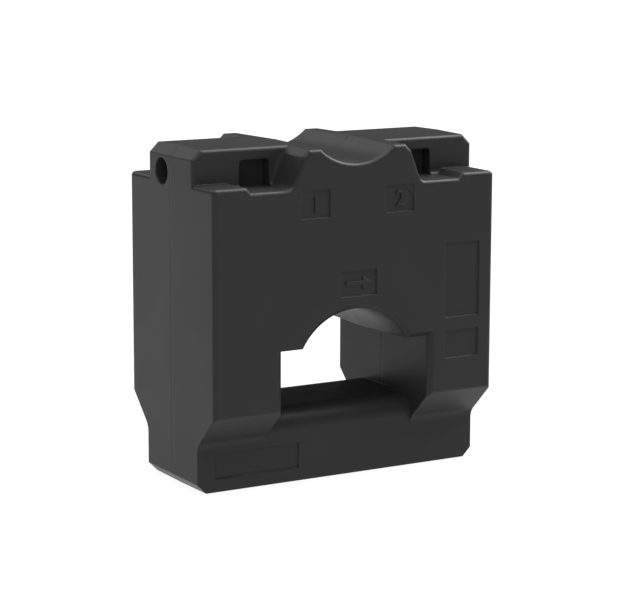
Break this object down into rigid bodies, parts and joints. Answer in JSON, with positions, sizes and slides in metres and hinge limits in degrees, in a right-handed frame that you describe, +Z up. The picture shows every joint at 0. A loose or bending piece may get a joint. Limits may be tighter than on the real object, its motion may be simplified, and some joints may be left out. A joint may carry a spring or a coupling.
{
  "type": "current transformer",
  "caption": "Window-type current transformer: a black moulded housing with a slot-and-arc window for a bar or a round conductor, and screw terminals at its top corners.",
  "frame": {"origin": "the middle of the footprint, on the housing's lowest line", "axes": "+X to the right seen from the front, +Y to the rear through the window, +Z up"},
  "size_m": [0.06, 0.0336, 0.0633],
  "materials": {
    "housing": "satin, moulded",
    "core_steel": "satin, wound tape edges",
    "core_wrap": "glossy film",
    "cushion": "matte foam",
    "former": "satin, moulded",
    "winding": "enamelled wire",
    "winding_tape": "glossy tape",
    "clamp_brass": "milled, nickel free",
    "bar": "bright tin on copper",
    "plate_steel": "zinc plated",
    "screw_steel": "black oxide",
    "lead_insulation": "smooth"
  },
  "bodies": {
    "housing": {"front_shell": "housing", "rear_shell": "housing", "ring_core": "core_steel", "core_wrap": "core_wrap", "front_core_cushion": "cushion", "rear_core_cushion": "cushion", "base_cushion": "cushion", "coil_former_lower": "former", "coil_former_upper": "former", "secondary_winding": "winding", "winding_wrap": "winding_tape", "right_clamp_box": "clamp_brass", "right_contact_bar": "bar", "right_lead": "lead_insulation", "left_clamp_box": "clamp_brass", "left_contact_bar": "bar", "left_lead": "lead_insulation"},
    "right_plate": {"right_pressure_plate": "plate_steel"},
    "right_screw": {"right_clamp_screw": "screw_steel"},
    "left_plate": {"left_pressure_plate": "plate_steel"},
    "left_screw": {"left_clamp_screw": "screw_steel"}
  },
  "joints": [
    {"name": "right_plate_slide", "type": "slide", "parent": "housing", "child": "right_plate", "axis": [-1, 0, 0], "range_m": [0, 0.003]},
    {"name": "right_screw_turn", "type": "hinge", "parent": "right_plate", "child": "right_screw", "pos_m": [0.0236, 0.0034, 0.0583], "axis": [-1, 0, 0], "range_deg": [0, 2161]},
    {"name": "left_plate_slide", "type": "slide", "parent": "housing", "child": "left_plate", "axis": [1, 0, 0], "range_m": [0, 0.003]},
    {"name": "left_screw_turn", "type": "hinge", "parent": "left_plate", "child": "left_screw", "pos_m": [-0.0236, 0.0034, 0.0583], "axis": [1, 0, 0], "range_deg": [0, 2161]}
  ],
  "couplings": [
    {"joint": "right_screw_turn", "follows": "right_plate_slide", "rad_per_m": 12566},
    {"joint": "left_screw_turn", "follows": "left_plate_slide", "rad_per_m": 12566}
  ]
}
